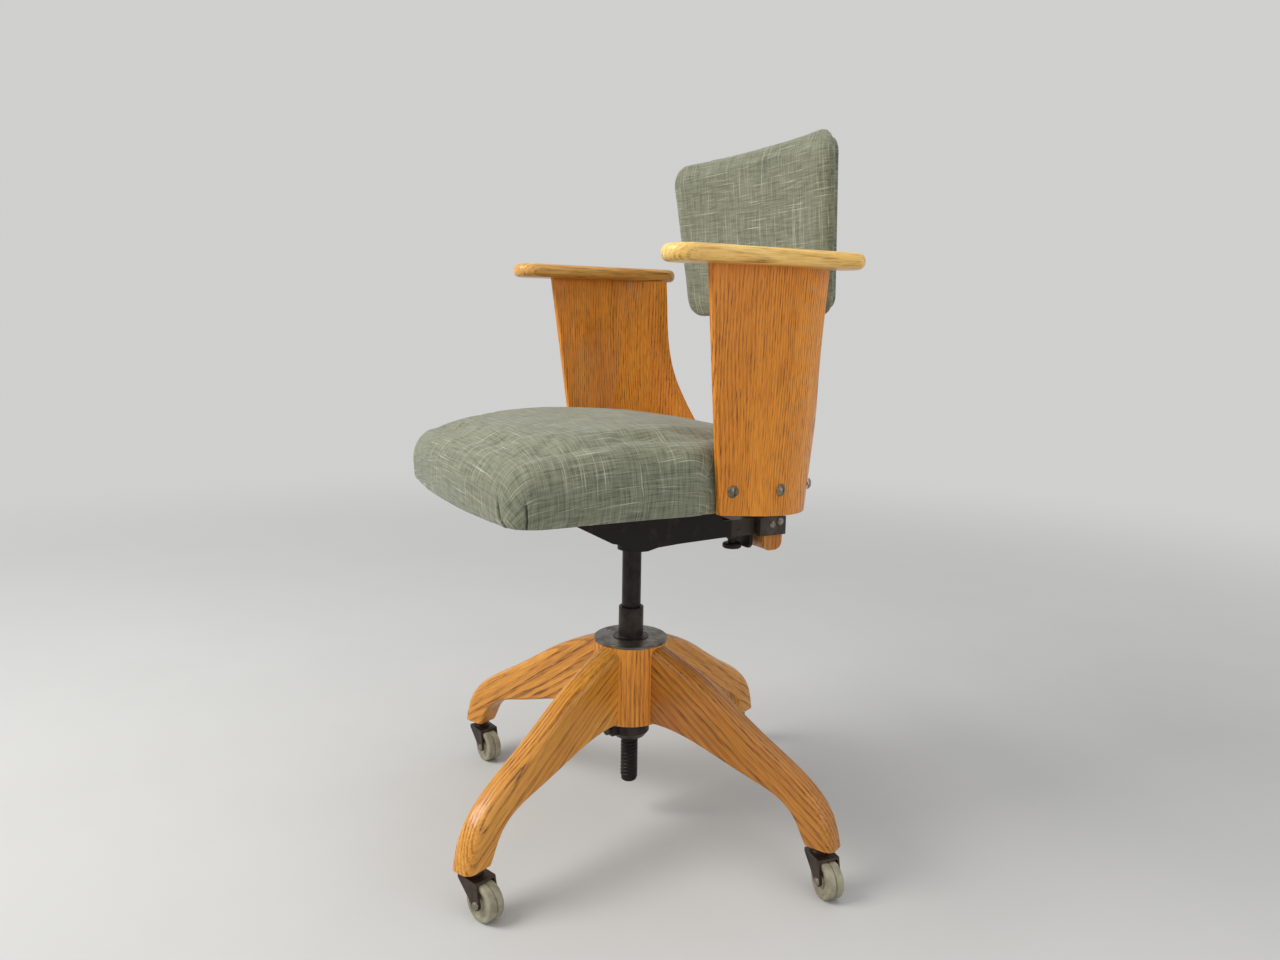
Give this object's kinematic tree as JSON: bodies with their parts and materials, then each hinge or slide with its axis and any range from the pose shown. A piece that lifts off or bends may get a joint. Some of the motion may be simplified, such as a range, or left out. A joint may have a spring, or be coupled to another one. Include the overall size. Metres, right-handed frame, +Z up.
{
  "type": "swivel chair",
  "caption": "Oak office swivel chair with a four-legged caster base, screw spindle, upholstered seat between bent side panels, paddle arms and a tilting back pad.",
  "frame": {"origin": "on the floor, on the axis of the spindle", "axes": "+Z up; the chair faces -Y; +X is the sitter's left"},
  "size_m": [0.5779, 0.5594, 0.8816],
  "materials": {
    "base_oak": "satin stained oak",
    "seat_oak": "satin lacquered oak",
    "arm_oak": "satin lacquered oak",
    "dowel_wood": "raw",
    "seat_ply": "raw plywood",
    "grey_steel": "worn",
    "dark_steel": "darkened",
    "spindle_steel": "greased",
    "bright_screw": "worn plated",
    "black_paint": "worn satin enamel",
    "black_plastic": "matt",
    "seat_fabric": "woven linen",
    "caster_metal": "browned",
    "caster_wheel": "scuffed"
  },
  "bodies": {
    "base": {"hub": "base_oak", "leg_1": "base_oak", "leg_2": "base_oak", "leg_3": "base_oak", "leg_4": "base_oak", "leg_dowels": "dowel_wood", "hub_plate": "grey_steel", "plate_screws": "bright_screw", "caster_sockets": "grey_steel"},
    "caster_1": {"caster_fork_1": "caster_metal", "caster_axle_1": "bright_screw"},
    "wheel_1": {"caster_wheel_1": "caster_wheel"},
    "caster_2": {"caster_fork_2": "caster_metal", "caster_axle_2": "bright_screw"},
    "wheel_2": {"caster_wheel_2": "caster_wheel"},
    "caster_3": {"caster_fork_3": "caster_metal", "caster_axle_3": "bright_screw"},
    "wheel_3": {"caster_wheel_3": "caster_wheel"},
    "caster_4": {"caster_fork_4": "caster_metal", "caster_axle_4": "bright_screw"},
    "wheel_4": {"caster_wheel_4": "caster_wheel"},
    "seat_turn": {"thrust_washer": "grey_steel"},
    "seat_unit": {"spindle": "spindle_steel", "seat_bearer": "black_paint", "bearer_bolts": "grey_steel", "arm_guide": "black_paint", "guide_fin": "black_paint", "seat_board": "seat_ply", "seat_frame": "dowel_wood", "seat_cushion": "seat_fabric", "side_panel_left": "seat_oak", "side_panel_right": "seat_oak", "panel_screws": "bright_screw", "armrest_left": "arm_oak", "armrest_right": "arm_oak", "arm_dowels": "dowel_wood"},
    "nut_unit": {"guide_sleeve": "dark_steel", "spindle_nut": "dark_steel", "nut_lock_screw": "dark_steel"},
    "knob": {"clamp_knob": "black_plastic"},
    "back_arm_unit": {"back_arm": "grey_steel", "end_bracket": "black_paint", "bracket_bolts": "bright_screw"},
    "post_unit": {"back_post": "seat_oak"},
    "pad_unit": {"back_pad": "seat_fabric", "back_board": "seat_ply", "pivot_bracket": "black_paint", "pivot_pin": "grey_steel", "pad_screws": "bright_screw"}
  },
  "joints": [
    {"name": "caster_1_swivel", "type": "hinge", "parent": "base", "child": "caster_1", "pos_m": [0.25607, 0.1205, 0.0475], "axis": [0, 0, 1], "continuous": true},
    {"name": "caster_1_roll", "type": "hinge", "parent": "caster_1", "child": "wheel_1", "pos_m": [0.27587, 0.11771, 0.0215], "axis": [0.1392, 0.9903, 0], "continuous": true},
    {"name": "caster_2_swivel", "type": "hinge", "parent": "base", "child": "caster_2", "pos_m": [-0.1205, 0.25607, 0.0475], "axis": [0, 0, 1], "continuous": true},
    {"name": "caster_2_roll", "type": "hinge", "parent": "caster_2", "child": "wheel_2", "pos_m": [-0.1305, 0.23875, 0.0215], "axis": [0.866, -0.5, 0], "continuous": true},
    {"name": "caster_3_swivel", "type": "hinge", "parent": "base", "child": "caster_3", "pos_m": [-0.25607, -0.1205, 0.0475], "axis": [0, 0, 1], "continuous": true},
    {"name": "caster_3_roll", "type": "hinge", "parent": "caster_3", "child": "wheel_3", "pos_m": [-0.23637, -0.11702, 0.0215], "axis": [-0.1736, 0.9848, 0], "continuous": true},
    {"name": "caster_4_swivel", "type": "hinge", "parent": "base", "child": "caster_4", "pos_m": [0.1205, -0.25607, 0.0475], "axis": [0, 0, 1], "continuous": true},
    {"name": "caster_4_roll", "type": "hinge", "parent": "caster_4", "child": "wheel_4", "pos_m": [0.13929, -0.24923, 0.0215], "axis": [-0.342, 0.9397, 0], "continuous": true},
    {"name": "seat_swivel", "type": "hinge", "parent": "base", "child": "seat_turn", "pos_m": [0, 0, 0.2465], "axis": [0, 0, 1], "continuous": true},
    {"name": "height_adjust", "type": "slide", "parent": "seat_turn", "child": "seat_unit", "axis": [0, 0, 1], "range_m": [-0.035, 0.06]},
    {"name": "nut_turn", "type": "hinge", "parent": "seat_turn", "child": "nut_unit", "pos_m": [0, 0, 0.2485], "axis": [0, 0, 1], "continuous": true},
    {"name": "clamp_knob_turn", "type": "hinge", "parent": "seat_unit", "child": "knob", "pos_m": [0, 0.1545, 0.366], "axis": [0, 0, 1], "range_deg": [-720, 0]},
    {"name": "back_depth", "type": "slide", "parent": "seat_unit", "child": "back_arm_unit", "axis": [0, 1, 0], "range_m": [-0.003, 0.05]},
    {"name": "back_height", "type": "slide", "parent": "back_arm_unit", "child": "post_unit", "axis": [0, 0, 1], "range_m": [-0.04, 0.02]},
    {"name": "pad_tilt", "type": "hinge", "parent": "post_unit", "child": "pad_unit", "pos_m": [0, 0.23291, 0.74801], "axis": [1, 0, 0], "range_deg": [-14, 6]}
  ],
  "couplings": [
    {"joint": "nut_turn", "follows": "height_adjust", "rad_per_m": 1256.6}
  ]
}
